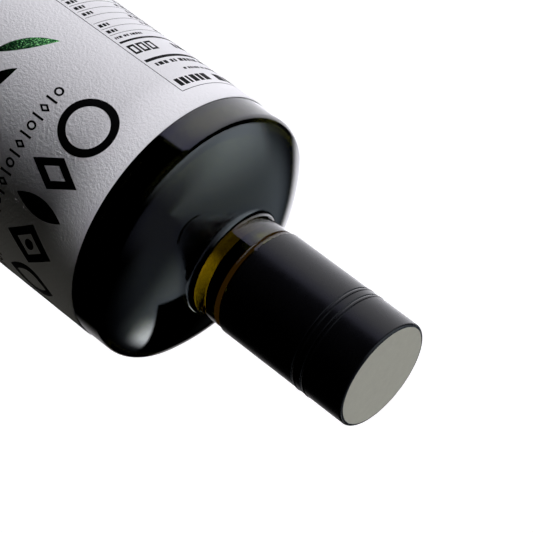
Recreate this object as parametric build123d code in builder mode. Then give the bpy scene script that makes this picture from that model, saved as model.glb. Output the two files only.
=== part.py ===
from build123d import *
import os
from math import cos, radians, sin, sqrt

# Olive oil bottle, 500 ml: a squat round bottle of dark glass, filled with oil, closed with a
# long aluminium screw cap and wrapped in a paper label.
# Millimetres, +Z up. The origin is the centre of the base, and the label's front faces -Y.

# Body of the bottle, outside
body_radius = 38.2
body_height = 129.6          # base to the start of the shoulder
heel_radius = 5.0            # rounding between the wall and the base
bearing_ring_radius = 27.0   # inner edge of the flat ring that the bottle stands on
bearing_edge_radius = 1.5
punt_depth = 4.0             # hollow under the base

# Shoulder: a tight corner, then a dome that flattens towards the neck
shoulder_corner_radius = 3.4
shoulder_slope = 36.85       # degrees from level, where the corner ends
neck_slope = 13.5            # degrees from level, where the dome meets the collar

# Collar: the bare band of glass under the cap
collar_step = 0.4            # how far it lies inside the cap's outside
collar_height = 8.6          # dome to the slanted edge
collar_foot_radius = 2.2     # hollow rounding between the dome and the collar
collar_edge_height = 1.0     # slanted top edge, which runs in to the plain neck
collar_edge_radius = 0.3

# Glass, inside
wall = 3.0
neck_wall = 5.1
floor_thickness = 5.0
inner_heel_radius = 7.0
inner_corner_radius = 6.0
bore_foot_radius = 5.0       # rounding where the neck opens into the body

# Oil
oil_rise = 4.4               # surface of the oil above the collar's foot
oil_clearance = 0.05         # oil to glass

# Cap
cap_radius = 15.8
cap_length = 43.1
cap_wall = 0.4
cap_panel = 0.9              # closed end, with its liner, which rests on the mouth
cap_hem_radius = 0.15        # rolled lower edge of the skirt
cap_gap = 0.9                # lower edge of the skirt to the collar
neck_clearance = 0.7         # inside of the skirt to the plain neck
ring_depths = (13.9, 17.1)   # pressed lines, measured down from the closed end
ring_groove_radius = 0.25
ring_bead_width = 1.0        # raised lip on the upper side of each line
ring_bead_height = 0.15

# Pale disc let into the closed end of the cap
disc_rim = 0.85              # width of the cap's rim round the disc
disc_rim_land = 0.05         # flat left on the rim inside its rounding
disc_thickness = 0.3
disc_clearance = 0.05
disc_edge = 0.05             # small bevel round its face

# Paper label
label_thickness = 0.25
label_bottom = 12.0          # above the base
label_top_margin = 8.4       # label to the start of the shoulder
label_gap = 7.0              # bare glass between the label's ends, at the back

# Radii that follow from the cap
cap_inside_radius = cap_radius - cap_wall
neck_radius = cap_inside_radius - neck_clearance
bore_radius = neck_radius - neck_wall
collar_radius = cap_radius - collar_step
recess_radius = cap_radius - disc_rim

# Shoulder: where the corner's arc ends, and the sphere that the dome is part of
corner_end_radius = body_radius - shoulder_corner_radius * (1 - sin(radians(shoulder_slope)))
corner_end_height = body_height + shoulder_corner_radius * cos(radians(shoulder_slope))
dome_radius = (corner_end_radius - collar_radius) / (
    sin(radians(shoulder_slope)) - sin(radians(neck_slope))
)
dome_centre_radius = corner_end_radius - dome_radius * sin(radians(shoulder_slope))
dome_centre_height = corner_end_height - dome_radius * cos(radians(shoulder_slope))


def dome_point(radius, inset=0.0):
    """Point of the dome at a radius, on the surface that lies inset below the outer one."""
    across = radius - dome_centre_radius
    return (radius, dome_centre_height + sqrt((dome_radius - inset) ** 2 - across**2))


def dome_arc(start_radius, end_radius, inset=0.0):
    """The dome's arc between two radii."""
    ThreePointArc(
        dome_point(start_radius, inset),
        dome_point((start_radius + end_radius) / 2, inset),
        dome_point(end_radius, inset),
    )


def bowl_arc(edge_radius, edge_height, rise):
    """Arc from the axis out to an edge that lies a rise lower, level at the axis."""
    bowl_radius = (edge_radius**2 + rise**2) / (2 * rise)
    RadiusArc((0, edge_height + rise), (edge_radius, edge_height), -bowl_radius)


def round_corners(section, corners):
    """Round a section's corners, each given as its place and its radius."""
    for place, radius in corners:
        fillet(section.vertices().sort_by_distance(place)[0], radius)


# Heights that follow from the sizes above
collar_foot = dome_point(collar_radius)[1]
collar_edge = collar_foot + collar_height
collar_top = collar_edge + collar_edge_height
cap_bottom = collar_top + cap_gap
cap_top = cap_bottom + cap_length
mouth = cap_top - cap_panel
recess_floor = cap_top - disc_thickness
oil_level = collar_foot + oil_rise
label_top = body_height - label_top_margin


def cavity_section(clearance=0.0):
    """Half section of the bottle's inside, pulled in by a clearance."""
    inside_radius = body_radius - wall - clearance
    bore = bore_radius - clearance
    inset = wall + clearance
    floor = floor_thickness + clearance
    with BuildSketch(Plane.XZ) as section:
        with BuildLine():
            bowl_arc(inside_radius, floor, punt_depth)
            Line((inside_radius, floor), dome_point(inside_radius, inset))
            dome_arc(inside_radius, bore, inset)
            Polyline(dome_point(bore, inset), (bore, mouth), (0, mouth), (0, floor + punt_depth))
        make_face()
        round_corners(
            section,
            (
                ((inside_radius, floor, 0), inner_heel_radius),
                ((*dome_point(inside_radius, inset), 0), inner_corner_radius),
                ((*dome_point(bore, inset), 0), bore_foot_radius),
            ),
        )
    return section.sketch


with BuildPart() as bottle:
    with BuildSketch(Plane.XZ) as glass_section:
        with BuildLine():
            bowl_arc(bearing_ring_radius, 0, punt_depth)
            Polyline((bearing_ring_radius, 0), (body_radius, 0), (body_radius, body_height))
            JernArc((body_radius, body_height), (0, 1), shoulder_corner_radius, 90 - shoulder_slope)
            dome_arc(corner_end_radius, collar_radius)
            Polyline(
                dome_point(collar_radius),
                (collar_radius, collar_edge),
                (neck_radius, collar_top),
                (neck_radius, mouth),
                (0, mouth),
                (0, punt_depth),
            )
        make_face()
        round_corners(
            glass_section,
            (
                ((bearing_ring_radius, 0, 0), bearing_edge_radius),
                ((body_radius, 0, 0), heel_radius),
                ((*dome_point(collar_radius), 0), collar_foot_radius),
                ((collar_radius, collar_edge, 0), collar_edge_radius),
            ),
        )
    revolve(axis=Axis.Z)
    revolve(cavity_section(), axis=Axis.Z, mode=Mode.SUBTRACT)
bottle.part.label = "bottle"

with BuildPart() as oil:
    revolve(cavity_section(oil_clearance), axis=Axis.Z)
    split(bisect_by=Plane.XY.offset(oil_level), keep=Keep.BOTTOM)
oil.part.label = "oil"

with BuildPart() as cap:
    with BuildSketch(Plane.XZ) as cap_section:
        with BuildLine():
            Polyline(
                (0, recess_floor),
                (recess_radius, recess_floor),
                (recess_radius, cap_top),
                (cap_radius, cap_top),
                (cap_radius, cap_bottom),
                (cap_inside_radius, cap_bottom),
                (cap_inside_radius, mouth),
                (0, mouth),
                (0, recess_floor),
            )
        make_face()
        round_corners(
            cap_section,
            (
                ((cap_radius, cap_top, 0), disc_rim - disc_rim_land),
                ((cap_radius, cap_bottom, 0), cap_hem_radius),
                ((cap_inside_radius, cap_bottom, 0), cap_hem_radius),
            ),
        )
    revolve(axis=Axis.Z)
    for depth in ring_depths:
        line_height = cap_top - depth
        bead_foot = line_height + ring_groove_radius
        with BuildSketch(Plane.XZ):
            with BuildLine():
                Line((cap_radius, bead_foot + ring_bead_width), (cap_radius, bead_foot))
                ThreePointArc(
                    (cap_radius, bead_foot),
                    (cap_radius + ring_bead_height, bead_foot + ring_bead_width / 2),
                    (cap_radius, bead_foot + ring_bead_width),
                )
            make_face()
        revolve(axis=Axis.Z)
        with BuildSketch(Plane.XZ):
            with Locations((cap_radius, line_height)):
                Circle(ring_groove_radius)
        revolve(axis=Axis.Z, mode=Mode.SUBTRACT)
cap.part.label = "cap"

with BuildPart() as cap_disc:
    with BuildSketch(Plane.XY.offset(recess_floor)):
        Circle(recess_radius - disc_clearance)
    extrude(amount=disc_thickness)
    chamfer(cap_disc.faces().sort_by(Axis.Z)[-1].edges(), disc_edge)
cap_disc.part.label = "cap_disc"

with BuildPart() as label:
    with BuildSketch(Plane.XY.offset(label_bottom)):
        Circle(body_radius + label_thickness)
        Circle(body_radius, mode=Mode.SUBTRACT)
        with Locations((0, body_radius)):
            Rectangle(label_gap, body_radius, mode=Mode.SUBTRACT)
    extrude(amount=label_top - label_bottom)
label.part.label = "label"

os.makedirs("parts", exist_ok=True)
for piece in (bottle, oil, cap, cap_disc, label):
    export_step(piece.part, f"parts/{piece.part.label}.step")
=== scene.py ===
import bpy
import bmesh
from math import atan2, cos, pi, radians, sin, sqrt
from mathutils import Matrix, Vector


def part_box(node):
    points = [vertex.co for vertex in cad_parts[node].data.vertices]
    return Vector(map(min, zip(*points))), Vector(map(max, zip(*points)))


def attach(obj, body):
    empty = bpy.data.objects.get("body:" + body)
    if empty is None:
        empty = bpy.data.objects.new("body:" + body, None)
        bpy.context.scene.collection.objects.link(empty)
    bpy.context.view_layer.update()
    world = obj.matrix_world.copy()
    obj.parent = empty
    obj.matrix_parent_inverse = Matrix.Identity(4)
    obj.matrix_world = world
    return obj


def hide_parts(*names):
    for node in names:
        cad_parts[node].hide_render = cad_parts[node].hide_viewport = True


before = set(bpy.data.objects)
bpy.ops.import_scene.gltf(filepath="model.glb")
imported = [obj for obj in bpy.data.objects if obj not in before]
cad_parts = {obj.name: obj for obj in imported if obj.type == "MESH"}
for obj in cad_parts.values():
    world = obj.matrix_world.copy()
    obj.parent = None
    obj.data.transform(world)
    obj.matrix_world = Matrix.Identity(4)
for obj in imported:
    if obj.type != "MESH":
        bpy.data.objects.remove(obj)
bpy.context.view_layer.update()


# ---- Camera ------------------------------------------------------------------------------
# A long lens looks down on the shoulder and the cap from the front left. It is rolled, so
# that the neck points down and to the right of the view.

mm = 0.001
cap_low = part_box("cap")[0]
camera_azimuth = radians(-38.03)
camera_elevation = radians(25.75)
camera_roll = radians(126.88)
camera_distance = 619.1 * mm
camera_aim = Vector((-3.6 * mm, 2.8 * mm, cap_low.z - 1.76 * mm))


def direction(azimuth, elevation):
    """Points out from the bottle: azimuth 0 is the front and rises towards the right."""
    level = cos(elevation)
    return Vector((sin(azimuth) * level, -cos(azimuth) * level, sin(elevation)))


camera_data = bpy.data.cameras.new("camera")
camera_data.sensor_width = 36.0
camera_data.lens = 158.85
camera_data.clip_start = 10 * mm
camera_data.clip_end = 20.0
camera = bpy.data.objects.new("camera", camera_data)
bpy.context.scene.collection.objects.link(camera)
bpy.context.scene.camera = camera
camera_back = direction(camera_azimuth, camera_elevation)
camera.location = camera_aim + camera_back * camera_distance
camera.rotation_mode = "QUATERNION"
camera_level = camera_back.to_track_quat("Z", "Y").to_matrix()
camera_turn = camera_level @ Matrix.Rotation(camera_roll, 3, "Z")
camera.rotation_quaternion = camera_turn.to_quaternion()
bpy.context.scene.view_settings.view_transform = "Standard"


# ---- Studio ------------------------------------------------------------------------------
# One large softbox stands at the left, a little behind the bottle, over a white sweep. A pale
# wall stands behind, with a window and a narrow strip light at its right. The front and the
# right are dark, as for dark glass.


def new_node(tree, kind, **values):
    node = tree.nodes.new(kind)
    for name, value in values.items():
        setattr(node, name, value)
    return node


def set_inputs(tree, node, **inputs):
    """Sets or links a node's inputs by name, with _ for a space."""
    for name, value in inputs.items():
        socket = node.inputs[name.replace("_", " ")]
        if isinstance(value, bpy.types.NodeSocket):
            tree.links.new(value, socket)
        else:
            socket.default_value = value
    return node


def maths(tree, operation, first, second=0.0):
    node = new_node(tree, "ShaderNodeMath", operation=operation)
    for socket, value in zip(node.inputs, (first, second)):
        if isinstance(value, bpy.types.NodeSocket):
            tree.links.new(value, socket)
        else:
            socket.default_value = value
    return node.outputs[0]


def fade(tree, value, dark, bright):
    """A mask that is 0 at dark and 1 at bright, with a smooth run between."""
    rising = bright > dark
    node = new_node(tree, "ShaderNodeMapRange", interpolation_type="SMOOTHSTEP")
    set_inputs(
        tree,
        node,
        Value=value,
        From_Min=min(dark, bright),
        From_Max=max(dark, bright),
        To_Min=0.0 if rising else 1.0,
        To_Max=1.0 if rising else 0.0,
    )
    return node.outputs["Result"]


softbox_azimuth = radians(-120)
in_degrees = 180 / pi
world = bpy.data.worlds.new("studio")
bpy.context.scene.world = world
world.use_nodes = True
sky = world.node_tree
sky.nodes.clear()
towards = new_node(sky, "ShaderNodeTexCoord").outputs["Generated"]
turned = new_node(sky, "ShaderNodeVectorRotate", rotation_type="Z_AXIS")
set_inputs(sky, turned, Vector=towards, Angle=-softbox_azimuth)
parts = new_node(sky, "ShaderNodeSeparateXYZ")
sky.links.new(turned.outputs[0], parts.inputs[0])
backwards = maths(sky, "MULTIPLY", parts.outputs["Y"], -1.0)
# bearing: degrees round from the middle of the softbox, rising towards the front
bearing = maths(sky, "ARCTAN2", parts.outputs["X"], backwards)
bearing = maths(sky, "MULTIPLY", bearing, in_degrees)
# height: degrees up from level
height = maths(sky, "MULTIPLY", maths(sky, "ARCSINE", parts.outputs["Z"]), in_degrees)
# the same two mixed, for edges that run aslant
slant = maths(sky, "ADD", height, bearing)
lean = maths(sky, "ADD", maths(sky, "MULTIPLY", height, 0.3), bearing)
rise = maths(sky, "ADD", maths(sky, "MULTIPLY", bearing, -0.55), height)


def studio_light(colour, strength, *fades, behind=None):
    """A light that fades out along some of these, each given as dark end and bright end."""
    level = strength
    for value, dark, bright in fades:
        level = maths(sky, "MULTIPLY", fade(sky, value, dark, bright), level)
    if behind is not None:
        level = maths(sky, "MULTIPLY", behind, level)
    emission = new_node(sky, "ShaderNodeEmission")
    set_inputs(sky, emission, Color=(*colour, 1.0), Strength=level)
    return emission.outputs[0]


# a dark stand that leans in front of the wall and the window
stand = maths(sky, "MULTIPLY", fade(sky, lean, -121.2, -119.8), fade(sky, lean, -102, -105))
stand = maths(sky, "MULTIPLY", stand, fade(sky, height, 41.8, 39.6))
around_stand = maths(sky, "SUBTRACT", 1.0, stand)
# nothing shines from straight below, so that the bottle stays dark when it is seen from above
above_floor = (height, -68, -52)

all_lights = None
for light in (
    # softbox, brightest along its lower edge
    studio_light(
        (0.8, 0.9, 1.0),
        2.9,
        (bearing, 90, 13),
        (bearing, -70, -25),
        (height, 20, 31),
        (height, 93, 19),
    ),
    # white sweep below it, cooler in the part towards the camera
    studio_light(
        (0.87, 0.88, 1.28), 0.92, (bearing, 35, 32), (lean, -107, -99), (height, 3, -8), above_floor
    ),
    studio_light(
        (1.12, 1.11, 0.72), 0.68, (bearing, 32, 0), (lean, -107, -99), (height, 3, -8), above_floor
    ),
    # white table behind the bottle, which shines up through its neck
    studio_light(
        (1.0, 0.97, 1.0),
        0.35,
        (bearing, -140, -115),
        (bearing, -75, -90),
        (height, -11, -20),
        above_floor,
    ),
    # ceiling, and the pale wall behind under it
    studio_light((0.66, 0.72, 1.0), 0.21, (height, 60, 80)),
    studio_light(
        (0.64, 0.76, 1.0),
        0.22,
        (slant, -123, -92),
        (rise, 41, 69),
        (height, 80, 60),
        behind=around_stand,
    ),
    studio_light((0.79, 0.93, 1.0), 0.38, (bearing, -112, -62), (bearing, 7, -40), (rise, 47, 64)),
    # window at the right of that wall
    studio_light(
        (0.8, 0.92, 1.0),
        0.64,
        (slant, -120, -103),
        (bearing, -148, -128),
        (bearing, -117, -125),
        (height, 72, 45),
        behind=around_stand,
    ),
    # strip light beside the stand
    studio_light(
        (0.92, 0.96, 1.0),
        3.25,
        (slant, -118, -110),
        (lean, -130, -121.5),
        (lean, -119.6, -121),
        (height, 36, 17),
    ),
):
    if all_lights is None:
        all_lights = light
        continue
    both = new_node(sky, "ShaderNodeAddShader")
    sky.links.new(all_lights, both.inputs[0])
    sky.links.new(light, both.inputs[1])
    all_lights = both.outputs[0]
# the camera itself sees only an even white
backdrop = new_node(sky, "ShaderNodeEmission")
set_inputs(sky, backdrop, Color=(1.0, 1.0, 1.0, 1.0), Strength=1.1)
seen = new_node(sky, "ShaderNodeMixShader")
sky.links.new(new_node(sky, "ShaderNodeLightPath").outputs["Is Camera Ray"], seen.inputs["Fac"])
sky.links.new(all_lights, seen.inputs[1])
sky.links.new(backdrop.outputs[0], seen.inputs[2])
sky.links.new(seen.outputs[0], new_node(sky, "ShaderNodeOutputWorld").inputs["Surface"])

# These lights are for gloss and glass. Paper and lacquer scatter, and are lit by four soft
# lamps: one for the softbox, one for the sweep, one for the wall behind and a weak one at the
# right.
world.cycles_visibility.diffuse = False
lamp_softness = radians(26)
for lamp_name, lamp_azimuth, lamp_elevation, lamp_power, lamp_colour in (
    ("softbox_glow", -104, 30, 1.5, (1.0, 0.985, 1.04)),
    ("sweep_glow", -116, 22, 1.75, (1.0, 0.985, 1.04)),
    ("back_glow", 165, 12, 1.2, (1.0, 0.99, 1.02)),
    ("side_glow", 70, 15, 0.155, (1.0, 0.97, 0.86)),
):
    lamp_data = bpy.data.lights.new(lamp_name, "SUN")
    lamp_data.energy = lamp_power
    lamp_data.angle = lamp_softness
    lamp_data.color = lamp_colour
    lamp = bpy.data.objects.new(lamp_name, lamp_data)
    bpy.context.scene.collection.objects.link(lamp)
    lamp_direction = direction(radians(lamp_azimuth), radians(lamp_elevation))
    lamp.rotation_mode = "QUATERNION"
    lamp.rotation_quaternion = lamp_direction.to_track_quat("Z", "Y")
    lamp.visible_glossy = False
    lamp.visible_transmission = False


def new_material(name, **inputs):
    material = bpy.data.materials.new(name)
    material.use_nodes = True
    tree = material.node_tree
    set_inputs(tree, tree.nodes["Principled BSDF"], **inputs)
    return material


def new_object(name, bm, *materials):
    mesh = bpy.data.meshes.new(name)
    bm.to_mesh(mesh)
    bm.free()
    for material in materials:
        mesh.materials.append(material)
    piece = bpy.data.objects.new(name, mesh)
    bpy.context.scene.collection.objects.link(piece)
    return piece


# The floor shines a little itself, so that it meets the backdrop without a line. Only the
# camera sees it.
floor_radius = 6.0
pale_floor = new_material(
    "pale_floor",
    Base_Color=(0.8, 0.8, 0.8, 1.0),
    Roughness=1.0,
    Specular_IOR_Level=0.0,
    Emission_Color=(1.0, 1.0, 1.0, 1.0),
    Emission_Strength=0.62,
)
bm = bmesh.new()
bmesh.ops.create_circle(bm, cap_ends=True, segments=96, radius=floor_radius)
floor = new_object("floor", bm, pale_floor)
floor.visible_glossy = False
floor.visible_transmission = False
floor.visible_diffuse = False
floor.visible_shadow = False


# ---- Bottle ------------------------------------------------------------------------------
# Dark green container glass, blown in a mould: a straight body, a tight corner, a flattened
# dome and a short collar under the cap. Seen through the oil in the neck it glows amber, and the
# slanted edge under the cap has a painted amber glow.

bottle_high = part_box("bottle")[1]
body_radius = bottle_high.x
mouth = bottle_high.z
body_height = 129.6 * mm
punt_radius = 27.0 * mm
punt_depth = 4.0 * mm
heel_radius = 5.0 * mm
corner_radius = 3.4 * mm
corner_slope = radians(36.85)
neck_slope = radians(13.5)
collar_radius = 15.4 * mm
collar_height = 8.6 * mm
collar_foot_radius = 2.2 * mm
collar_edge_height = 1.0 * mm
collar_edge_radius = 0.3 * mm
neck_radius = 14.7 * mm
wall = 3.0 * mm
bore_radius = 9.6 * mm
floor_thickness = 5.0 * mm
inner_heel_radius = 7.0 * mm
inner_corner_radius = 6.0 * mm
bore_foot_radius = 5.0 * mm
round_steps = 180

corner_end = body_radius - corner_radius * (1 - sin(corner_slope))
dome_radius = (corner_end - collar_radius) / (sin(corner_slope) - sin(neck_slope))
dome_centre = (
    corner_end - dome_radius * sin(corner_slope),
    body_height + (corner_radius - dome_radius) * cos(corner_slope),
)


def bowl_radius(radius, depth):
    """Radius of the sphere that makes a bowl so wide and so deep."""
    return (radius**2 + depth**2) / (2 * depth)


def above(centre, distance, radius):
    """Height, at a radius from the axis, of the circle at that distance about a centre."""
    return centre[1] + sqrt(distance**2 - (radius - centre[0]) ** 2)


def start_line(bm, radius, z):
    return bm.verts.new((radius, 0.0, z))


def line_to(bm, end, radius, z):
    tip = bmesh.ops.extrude_vert_indiv(bm, verts=[end])["verts"][0]
    tip.co = (radius, 0.0, z)
    return tip


def arc_to(bm, end, centre, radius, z, steps):
    """Turns the line about a centre until it points at a place, the short way round."""
    start = atan2(end.co.z - centre[1], end.co.x - centre[0])
    finish = atan2(z - centre[1], radius - centre[0])
    angle = (finish - start + pi) % (2 * pi) - pi
    made = bmesh.ops.spin(
        bm,
        geom=[end],
        cent=(centre[0], 0.0, centre[1]),
        axis=(0.0, -1.0, 0.0),
        angle=angle,
        steps=steps,
    )
    return [item for item in made["geom_last"] if isinstance(item, bmesh.types.BMVert)][0]


def inner_line(bm, top, reach=0.0):
    """The bottle's inside from the middle of its floor up to a height, moved out by reach."""
    inside = body_radius - wall + reach
    bore = bore_radius + reach
    dome = dome_radius - wall + reach
    bowl = bowl_radius(inside, punt_depth)
    bowl_centre = (0.0, floor_thickness - reach + punt_depth - bowl)
    # where the three roundings have their centres
    heel_across = inside - inner_heel_radius
    heel = (heel_across, above(bowl_centre, bowl + inner_heel_radius, heel_across))
    shoulder_across = inside - inner_corner_radius
    shoulder = (shoulder_across, above(dome_centre, dome - inner_corner_radius, shoulder_across))
    foot_across = bore + bore_foot_radius
    foot = (foot_across, above(dome_centre, dome + bore_foot_radius, foot_across))
    end = start_line(bm, 0.0, bowl_centre[1] + bowl)
    end = arc_to(bm, end, bowl_centre, *heel, 16)
    end = arc_to(bm, end, heel, inside, heel[1], 12)
    end = line_to(bm, end, inside, shoulder[1])
    end = arc_to(bm, end, shoulder, *(2 * Vector(shoulder) - Vector(dome_centre)), 14)
    end = arc_to(bm, end, dome_centre, *foot, 32)
    end = arc_to(bm, end, foot, bore, foot[1], 12)
    return line_to(bm, end, bore, top)


def lathe(bm):
    """Turns the drawn line round the axis and closes it."""
    bmesh.ops.spin(
        bm,
        geom=bm.verts[:] + bm.edges[:],
        cent=(0.0, 0.0, 0.0),
        axis=(0.0, 0.0, 1.0),
        angle=2 * pi,
        steps=round_steps,
        use_merge=True,
    )
    bmesh.ops.remove_doubles(bm, verts=bm.verts, dist=0.001 * mm)
    bmesh.ops.recalc_face_normals(bm, faces=bm.faces)
    for face in bm.faces:
        face.smooth = True


def even_shading(piece):
    """Keeps straight stretches straight in the shading where they run into an arc."""
    modifier = piece.modifiers.new("even_shading", "WEIGHTED_NORMAL")
    modifier.weight = 100
    modifier.keep_sharp = True


def build_grain():
    """A node group for uneven surfaces: noise of one size, fixed to the piece, and its bump."""
    group = bpy.data.node_groups.new("surface_grain", "ShaderNodeTree")
    for name, value in (("Size", 1 * mm), ("Detail", 2.0), ("Roughness", 0.5), ("Depth", 0.1 * mm)):
        socket = group.interface.new_socket(name, in_out="INPUT", socket_type="NodeSocketFloat")
        socket.default_value = value
    group.interface.new_socket("Value", in_out="OUTPUT", socket_type="NodeSocketFloat")
    group.interface.new_socket("Normal", in_out="OUTPUT", socket_type="NodeSocketVector")
    given = new_node(group, "NodeGroupInput").outputs
    noise = new_node(group, "ShaderNodeTexNoise")
    set_inputs(
        group,
        noise,
        Vector=new_node(group, "ShaderNodeTexCoord").outputs["Object"],
        Scale=maths(group, "DIVIDE", 1.0, given["Size"]),
        Detail=given["Detail"],
        Roughness=given["Roughness"],
    )
    bump = new_node(group, "ShaderNodeBump")
    set_inputs(group, bump, Height=noise.outputs["Fac"], Distance=given["Depth"])
    result = new_node(group, "NodeGroupOutput")
    set_inputs(group, result, Value=noise.outputs["Fac"], Normal=bump.outputs["Normal"])
    return group


surface_grain = build_grain()


def grain(tree, size, detail=2.0, roughness=0.5, depth=0.0):
    """Places the grain in a material. A depth in metres also raises the surface by it."""
    node = new_node(tree, "ShaderNodeGroup", node_tree=surface_grain)
    set_inputs(tree, node, Size=size, Detail=detail, Roughness=roughness, Depth=depth)
    if depth:
        tree.links.new(node.outputs["Normal"], tree.nodes["Principled BSDF"].inputs["Normal"])
    return node.outputs["Value"]


def blend(tree, mask, first, second):
    """A colour that goes from the first to the second as a mask goes from 0 to 1."""
    node = new_node(tree, "ShaderNodeMix", data_type="RGBA")
    tree.links.new(mask, node.inputs["Factor"])
    first_colour, second_colour = [socket for socket in node.inputs if socket.type == "RGBA"]
    first_colour.default_value = (*first, 1.0)
    second_colour.default_value = (*second, 1.0)
    return [socket for socket in node.outputs if socket.type == "RGBA"][0]


collar_edge = above(dome_centre, dome_radius, collar_radius) + collar_height
dark_green_glass = new_material(
    "dark_green_glass",
    Base_Color=(1.0, 1.0, 1.0, 1.0),
    Roughness=0.0,
    IOR=1.5,
    Transmission_Weight=1.0,
)
tree = dark_green_glass.node_tree
tint = new_node(tree, "ShaderNodeVolumeAbsorption")
set_inputs(tree, tint, Color=(0.47, 0.475, 0.05, 1.0), Density=460.0)
tree.links.new(tint.outputs[0], tree.nodes["Material Output"].inputs["Volume"])
grain(tree, 22 * mm, 1.0, depth=0.008 * mm)

# A painted amber glow: the slanted edge under the cap emits amber, in place of light that has run
# up the wall and comes out there.
edge_clearance = 0.02 * mm
place = new_node(tree, "ShaderNodeSeparateXYZ")
tree.links.new(new_node(tree, "ShaderNodeTexCoord").outputs["Object"], place.inputs[0])
across = maths(tree, "POWER", place.outputs["X"], 2.0)
through = maths(tree, "POWER", place.outputs["Y"], 2.0)
from_axis = maths(tree, "SQRT", maths(tree, "ADD", across, through))
painted_glow_mask = maths(
    tree,
    "MULTIPLY",
    maths(tree, "GREATER_THAN", from_axis, neck_radius + edge_clearance),
    maths(tree, "GREATER_THAN", place.outputs["Z"], collar_edge - collar_edge_radius / 2),
)
# painted glow: amber emission on the slanted edge only
set_inputs(
    tree,
    tree.nodes["Principled BSDF"],
    Emission_Color=blend(tree, painted_glow_mask, (0.0, 0.0, 0.0), (0.016, 0.007, 0.0007)),
    Emission_Strength=1.0,
)

bm = bmesh.new()
bowl = bowl_radius(punt_radius, punt_depth)
heel = (body_radius - heel_radius, heel_radius)
foot = (
    collar_radius + collar_foot_radius,
    above(dome_centre, dome_radius + collar_foot_radius, collar_radius + collar_foot_radius),
)
edge_lean = atan2(collar_radius - neck_radius, collar_edge_height)
edge_start = collar_edge - collar_edge_radius * sin(edge_lean / 2) / cos(edge_lean / 2)
edge = (collar_radius - collar_edge_radius, edge_start)
corner = (body_radius - corner_radius, body_height)
end = start_line(bm, 0.0, punt_depth)
end = arc_to(bm, end, (0.0, punt_depth - bowl), punt_radius, 0.0, 16)
end = line_to(bm, end, heel[0], 0.0)
end = arc_to(bm, end, heel, body_radius, heel[1], 12)
end = line_to(bm, end, body_radius, body_height)
end = arc_to(bm, end, corner, *(2 * Vector(corner) - Vector(dome_centre)), 14)
end = arc_to(bm, end, dome_centre, *foot, 40)
end = arc_to(bm, end, foot, collar_radius, foot[1], 12)
end = line_to(bm, end, collar_radius, edge_start)
end = arc_to(bm, end, edge, edge[0] + cos(edge_lean), edge[1] + sin(edge_lean), 6)
end = line_to(bm, end, neck_radius, collar_edge + collar_edge_height)
end = line_to(bm, end, neck_radius, mouth)
end = line_to(bm, end, bore_radius, mouth)
inner_line(bm, mouth)
lathe(bm)
bottle = new_object("bottle_glass", bm, dark_green_glass)
even_shading(bottle)
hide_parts("bottle")
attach(bottle, "root")


# ---- Oil ---------------------------------------------------------------------------------
# Olive oil, clear and golden, filled up into the collar. It reaches a little way into the
# glass, so that no film of air lies between the two.

oil_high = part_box("oil")[1]
oil_reach = 0.15 * mm

golden_oil = new_material(
    "golden_oil",
    Base_Color=(1.0, 1.0, 1.0, 1.0),
    Roughness=0.0,
    IOR=1.47,
    Transmission_Weight=1.0,
    Specular_Tint=(0.1, 0.1, 0.1, 1.0),
)
tree = golden_oil.node_tree
tint = new_node(tree, "ShaderNodeVolumeAbsorption")
set_inputs(tree, tint, Color=(0.87, 0.74, 0.08, 1.0), Density=80.0)
tree.links.new(tint.outputs[0], tree.nodes["Material Output"].inputs["Volume"])

bm = bmesh.new()
end = inner_line(bm, oil_high.z, oil_reach)
end = line_to(bm, end, 0.0, oil_high.z)
lathe(bm)
oil = new_object("olive_oil", bm, golden_oil)
even_shading(oil)
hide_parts("oil")
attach(oil, "root")


# ---- Cap ---------------------------------------------------------------------------------
# A long aluminium screw cap, drawn in one piece, lacquered black and rolled on, with two
# pressed lines round it. The lacquer is satin, with a faint orange peel.


def vary_roughness(tree, noise, smooth, rough):
    """Lets the roughness run from one value to another over the usual range of a noise."""
    node = new_node(tree, "ShaderNodeMapRange")
    set_inputs(tree, node, Value=noise, From_Min=0.3, From_Max=0.7, To_Min=smooth, To_Max=rough)
    tree.links.new(node.outputs["Result"], tree.nodes["Principled BSDF"].inputs["Roughness"])


black_lacquer = new_material(
    "black_lacquer",
    Base_Color=(0.0025, 0.0025, 0.0032, 1.0),
    IOR=1.5,
    Specular_IOR_Level=0.25,
)
tree = black_lacquer.node_tree
vary_roughness(tree, grain(tree, 4 * mm, 3.0), 0.24, 0.3)
grain(tree, 0.5 * mm, 2.0, depth=0.002 * mm)
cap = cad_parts["cap"]
cap.material_slots[0].material = black_lacquer
# the dome would mirror it as a black patch
cap.visible_glossy = False


# ---- Cap disc ----------------------------------------------------------------------------
# A thin pale disc of matte metal let into the end of the cap, faintly mottled.

pale_metal = new_material("pale_metal", Roughness=0.55, Specular_IOR_Level=0.3)
tree = pale_metal.node_tree
greys = blend(tree, grain(tree, 2.2 * mm, 4.0, 0.65), (0.44, 0.44, 0.36), (0.54, 0.54, 0.45))
tree.links.new(greys, tree.nodes["Principled BSDF"].inputs["Base Color"])
grain(tree, 0.35 * mm, 3.0, depth=0.01 * mm)
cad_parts["cap_disc"].material_slots[0].material = pale_metal


# ---- Label paper -------------------------------------------------------------------------
# White felt-marked paper, cut flat and then wrapped round the body. Its back is glued to the glass
# and coloured near black, a painted shade for how black it looks through the oil.

label_low, label_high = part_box("label")
label_radius = body_radius + 0.25 * mm
ink_height = 0.02 * mm
ink_root = 0.01 * mm
paper_radius = label_radius - ink_height
paper_thickness = 0.2 * mm
paper_columns = 360
paper_rows = 8
label_gap = 7.0 * mm
label_length = 2 * pi * label_radius - label_gap
upright = Matrix.Rotation(pi / 2, 3, "X")


def wrap(bm):
    """Bends flat work round the body: x runs round from the front, y goes into the paper."""
    for vert in bm.verts:
        turn = vert.co.x / label_radius
        radius = paper_radius - vert.co.y
        vert.co = (radius * sin(turn), -radius * cos(turn), vert.co.z)


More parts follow.
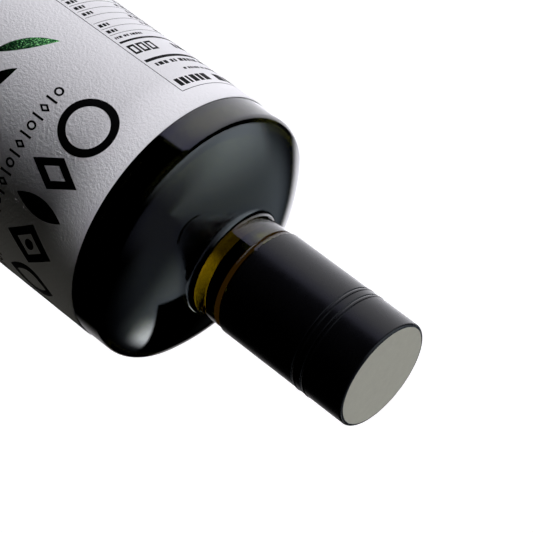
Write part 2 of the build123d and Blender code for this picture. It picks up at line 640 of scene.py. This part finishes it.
felt_paper = new_material("felt_paper", Roughness=0.85, Specular_IOR_Level=0.25)
tree = felt_paper.node_tree
whites = blend(tree, grain(tree, 9 * mm, 3.0), (0.83, 0.83, 0.84), (0.87, 0.87, 0.885))
tree.links.new(whites, tree.nodes["Principled BSDF"].inputs["Base Color"])
grain(tree, 0.8 * mm, 3.0, 0.65, depth=0.23 * mm)
# painted shade: the back of the paper is near black, as it looks through the dark glass and oil
painted_dark_back = new_material(
    "painted_dark_back", Base_Color=(0.002, 0.002, 0.001, 1.0), Roughness=1.0, Specular_IOR_Level=0.0
)
grain(painted_dark_back.node_tree, 3 * mm, depth=0.02 * mm)

bm = bmesh.new()
paper_height = label_high.z - label_low.z
bmesh.ops.create_grid(bm, x_segments=paper_columns, y_segments=paper_rows, size=0.5)
bmesh.ops.scale(bm, vec=(label_length, paper_height, 1.0), verts=bm.verts)
bmesh.ops.rotate(bm, cent=(0.0, 0.0, 0.0), matrix=upright, verts=bm.verts)
bmesh.ops.translate(bm, vec=(0.0, 0.0, label_low.z + paper_height / 2), verts=bm.verts)
made = bmesh.ops.extrude_face_region(bm, geom=bm.faces[:])
back = [item for item in made["geom"] if isinstance(item, bmesh.types.BMVert)]
bmesh.ops.translate(bm, vec=(0.0, paper_thickness, 0.0), verts=back)
bmesh.ops.recalc_face_normals(bm, faces=bm.faces)
for face in bm.faces:
    face.material_index = 1 if all(vert.co.y > paper_thickness / 2 for vert in face.verts) else 0
    face.smooth = abs(face.normal.y) > 0.5
wrap(bm)
label = new_object("paper_label", bm, felt_paper, painted_dark_back)
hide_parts("label")
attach(label, "root")


# ---- Label print, black ------------------------------------------------------------------
# Thick matte black ink. A row of bold ornaments runs across the front with a line of small
# marks under it, and a panel of rules and dashes stands at the left. There is no lettering.

# flat sizes in millimetres, x from the middle of the front and z up from the base
front_row = (96.5, 113.0)
marks_row = 91.0
mark_step = 2.85
mark_height = 4.0
panel = (-90.7, 44.0, -56.7, 114.2)
panel_margin = 1.5
first_line = 84.3
line_step = 3.16
degree = pi / 180 * label_radius / mm
bold = 2.35
medium = bold * 0.9
hairline = 0.22
strip_width = 1.0


def ellipse(bm, x, z, width, height, sides=64):
    """A flat ellipse, or a lozenge with four sides. Gives its face."""
    verts = bmesh.ops.create_circle(bm, cap_ends=True, segments=sides, radius=0.5)["verts"]
    bmesh.ops.scale(bm, vec=(width, height, 1.0), verts=verts)
    bmesh.ops.translate(bm, vec=(x, z, 0.0), verts=verts)
    return verts[0].link_faces[0]


def leaf(bm, x, z, width, height, sides=48):
    """An upright ellipse drawn to a point at both ends."""
    face = ellipse(bm, x, z, width, height, sides)
    for vert in face.verts:
        along = (vert.co.y - z) / (height / 2)
        vert.co.x = x + (vert.co.x - x) * sqrt(max(0.0, 1 - along**2))
    return face


def bar(bm, left, low, right, high):
    verts = bmesh.ops.create_grid(bm, x_segments=1, y_segments=1, size=0.5)["verts"]
    bmesh.ops.scale(bm, vec=(right - left, high - low, 1.0), verts=verts)
    bmesh.ops.translate(bm, vec=((left + right) / 2, (low + high) / 2, 0.0), verts=verts)
    return verts[0].link_faces[0]


def outline(bm, face, stroke):
    """Cuts the middle out of a shape."""
    bmesh.ops.inset_region(
        bm, faces=[face], thickness=stroke, use_boundary=True, use_even_offset=True
    )
    bmesh.ops.delete(bm, geom=[face], context="FACES")


def dashes(bm, left, right, z, height):
    """Words of uneven dashes, as a line of small print looks from a distance."""
    place = left
    count = 0
    # four widths in turn, and a wide gap after some of them, which parts the words
    while place < right - height * 0.5:
        width = height * (0.55 + 0.2 * (count * 5 % 4))
        bar(bm, place, z - height / 2, min(place + width, right), z + height / 2)
        place += width + height * (0.9 if count * 3 % 7 in (4, 5) else 0.3)
        count += 1


def press(name, bm, material, depth):
    """Takes flat work drawn in millimetres, cuts it into strips so that it can bend, gives it
    a depth, wraps it round the body and fixes it there."""
    reach = max(abs(vert.co.x) for vert in bm.verts)
    cuts = int(reach / strip_width) + 1
    for number in range(-cuts, cuts + 1):
        bmesh.ops.bisect_plane(
            bm,
            geom=bm.verts[:] + bm.edges[:] + bm.faces[:],
            plane_co=(number * strip_width, 0.0, 0.0),
            plane_no=(1.0, 0.0, 0.0),
        )
    bmesh.ops.scale(bm, vec=(mm, mm, mm), verts=bm.verts)
    bmesh.ops.rotate(bm, cent=(0.0, 0.0, 0.0), matrix=upright, verts=bm.verts)
    bmesh.ops.translate(bm, vec=(0.0, -depth, 0.0), verts=bm.verts)
    made = bmesh.ops.extrude_face_region(bm, geom=bm.faces[:])
    back = [item for item in made["geom"] if isinstance(item, bmesh.types.BMVert)]
    bmesh.ops.translate(bm, vec=(0.0, depth + ink_root, 0.0), verts=back)
    bmesh.ops.recalc_face_normals(bm, faces=bm.faces)
    wrap(bm)
    piece = new_object(name, bm, material)
    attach(piece, "root")
    return piece


black_ink = new_material(
    "black_ink", Base_Color=(0.0008, 0.0008, 0.0009, 1.0), Specular_IOR_Level=0.05
)
tree = black_ink.node_tree
vary_roughness(tree, grain(tree, 1.5 * mm, 2.0), 0.5, 0.65)
grain(tree, 1.1 * mm, 2.0, depth=0.03 * mm)

bm = bmesh.new()
# the bold row, placed and made wide in degrees round the body
row_middle = sum(front_row) / 2
row_height = front_row[1] - front_row[0]
outline(bm, ellipse(bm, -46.5 * degree, row_middle, 25.0 * degree, row_height * 1.04, 96), bold)
outline(bm, ellipse(bm, -24.5 * degree, row_middle, 14.0 * degree, row_height, 4), medium)
leaf(bm, -9.0 * degree, row_middle, 8.0 * degree, row_height)
outline(bm, ellipse(bm, 9.0 * degree, row_middle, 20.0 * degree, row_height, 4), bold)
ellipse(bm, 9.0 * degree, row_middle, 3.2, 3.2, 32)
outline(bm, leaf(bm, 30.0 * degree, row_middle, 16.0 * degree, row_height), medium)
outline(bm, ellipse(bm, 50.0 * degree, row_middle, 20.0 * degree, row_height, 96), bold)
# the small marks: rings and lozenges in turn, with an upright stroke between
for number in range(-12, 13):
    place = number * mark_step
    kind = number % 4
    if kind == 0:
        outline(bm, ellipse(bm, place, marks_row, 2.6, 3.0, 32), 0.6)
    elif kind == 2:
        outline(bm, ellipse(bm, place, marks_row, 2.4, 3.9, 4), 0.55)
    else:
        low, high = marks_row - mark_height / 2, marks_row + mark_height / 2
        bar(bm, place - 0.32, low, place + 0.32, high)

# the panel: its frame, a heading with a block of upright strokes, two lines, and a table
left, low, right, high = panel
text_left = left + panel_margin
bar(bm, left, low, left + hairline, high)
bar(bm, right - hairline, low, right, high)
bar(bm, left + hairline, low, right - hairline, low + hairline)
bar(bm, left + hairline, high - hairline, right - hairline, high)
dashes(bm, text_left, right - 16.0, 110.7, 3.4)
strokes = ((14.2, 2.2), (11.4, 1.5), (9.3, 1.9), (6.7, 0.9), (5.2, 1.6), (3.1, 1.5))
for start, width in strokes:
    bar(bm, right - start, 109.1, right - start + width, 112.3)
dashes(bm, text_left, right - 9.0, 105.9, 0.9)
dashes(bm, text_left, right - panel_margin, 101.8, 1.4)
bar(bm, left + 1.2, 98.8, right - 1.0, 99.9)
dashes(bm, text_left, left + 15.0, 93.6, 2.6)
for number in range(3):
    box_left = right - 10.6 + number * 3.3
    outline(bm, bar(bm, box_left, 91.6, box_left + 2.7, 95.7), 0.75)
bar(bm, left + 1.2, 89.3, right - 1.0, 90.1)
dashes(bm, right - 12.0, right - 1.4, 87.5, 0.9)
line = first_line
number = 0
while line > low + 2:
    dashes(bm, text_left + number % 3, left + 13.0 + number * 7 % 5, line, 1.3)
    if number != 2:
        dashes(bm, right - 5.2, right - 1.4, line, 1.3)
    bar(bm, left + 1.2, line + 1.5, right - 1.0, line + 1.64)
    line -= line_step
    number += 1
press("label_print", bm, black_ink, ink_height)


# ---- Label print, foil -------------------------------------------------------------------
# A sprig of olive leaves, hot-stamped in dark green foil under the row of marks. The foil
# takes the felt marks of the paper, so that it glitters where it faces the light.

green_foil = new_material("green_foil", Metallic=1.0, Roughness=0.13)
tree = green_foil.node_tree
flecks = fade(tree, grain(tree, 0.5 * mm, 3.0, 0.7), 0.47, 0.66)
greens = blend(tree, flecks, (0.006, 0.09, 0.018), (0.42, 0.95, 0.33))
tree.links.new(greens, tree.nodes["Principled BSDF"].inputs["Base Color"])
grain(tree, 0.45 * mm, 2.0, 0.6, depth=0.13 * mm)


def foil_leaf(bm, tip, length, width, leaf_direction, bend):
    """A leaf from its tip backwards: the direction is where its tip points, in degrees up from
    level, and the bend carries its foot sideways."""
    face = leaf(bm, 0.0, 0.0, width, length)
    for vert in face.verts:
        along = vert.co.y / length + 0.5
        vert.co.x += bend * (1 - along) ** 2
        vert.co.y -= length / 2
    verts = face.verts[:]
    turn = Matrix.Rotation(radians(leaf_direction - 90), 3, "Z")
    bmesh.ops.rotate(bm, cent=(0.0, 0.0, 0.0), matrix=turn, verts=verts)
    bmesh.ops.translate(bm, vec=(*tip, 0.0), verts=verts)


bm = bmesh.new()
for tip, length, width, leaf_direction, bend in (
    ((-46.0, 79.2), 18.5, 3.6, 133.0, 2.0),
    ((-32.6, 76.6), 18.0, 4.2, 152.0, 2.5),
    ((-17.0, 79.0), 17.5, 4.2, 128.0, 2.0),
    ((2.0, 79.5), 18.0, 4.4, 112.0, 1.5),
    ((21.0, 77.0), 18.0, 4.2, 78.0, -1.5),
    ((-28.0, 49.0), 17.5, 4.2, 232.0, -2.0),
    ((-8.0, 45.5), 18.0, 4.3, 250.0, -1.8),
    ((14.0, 45.0), 17.5, 4.2, 281.0, 1.5),
    ((35.0, 56.0), 18.0, 4.2, 330.0, 1.5),
):
    foil_leaf(bm, tip, length, width, leaf_direction, bend)
press("label_foil", bm, green_foil, ink_height)
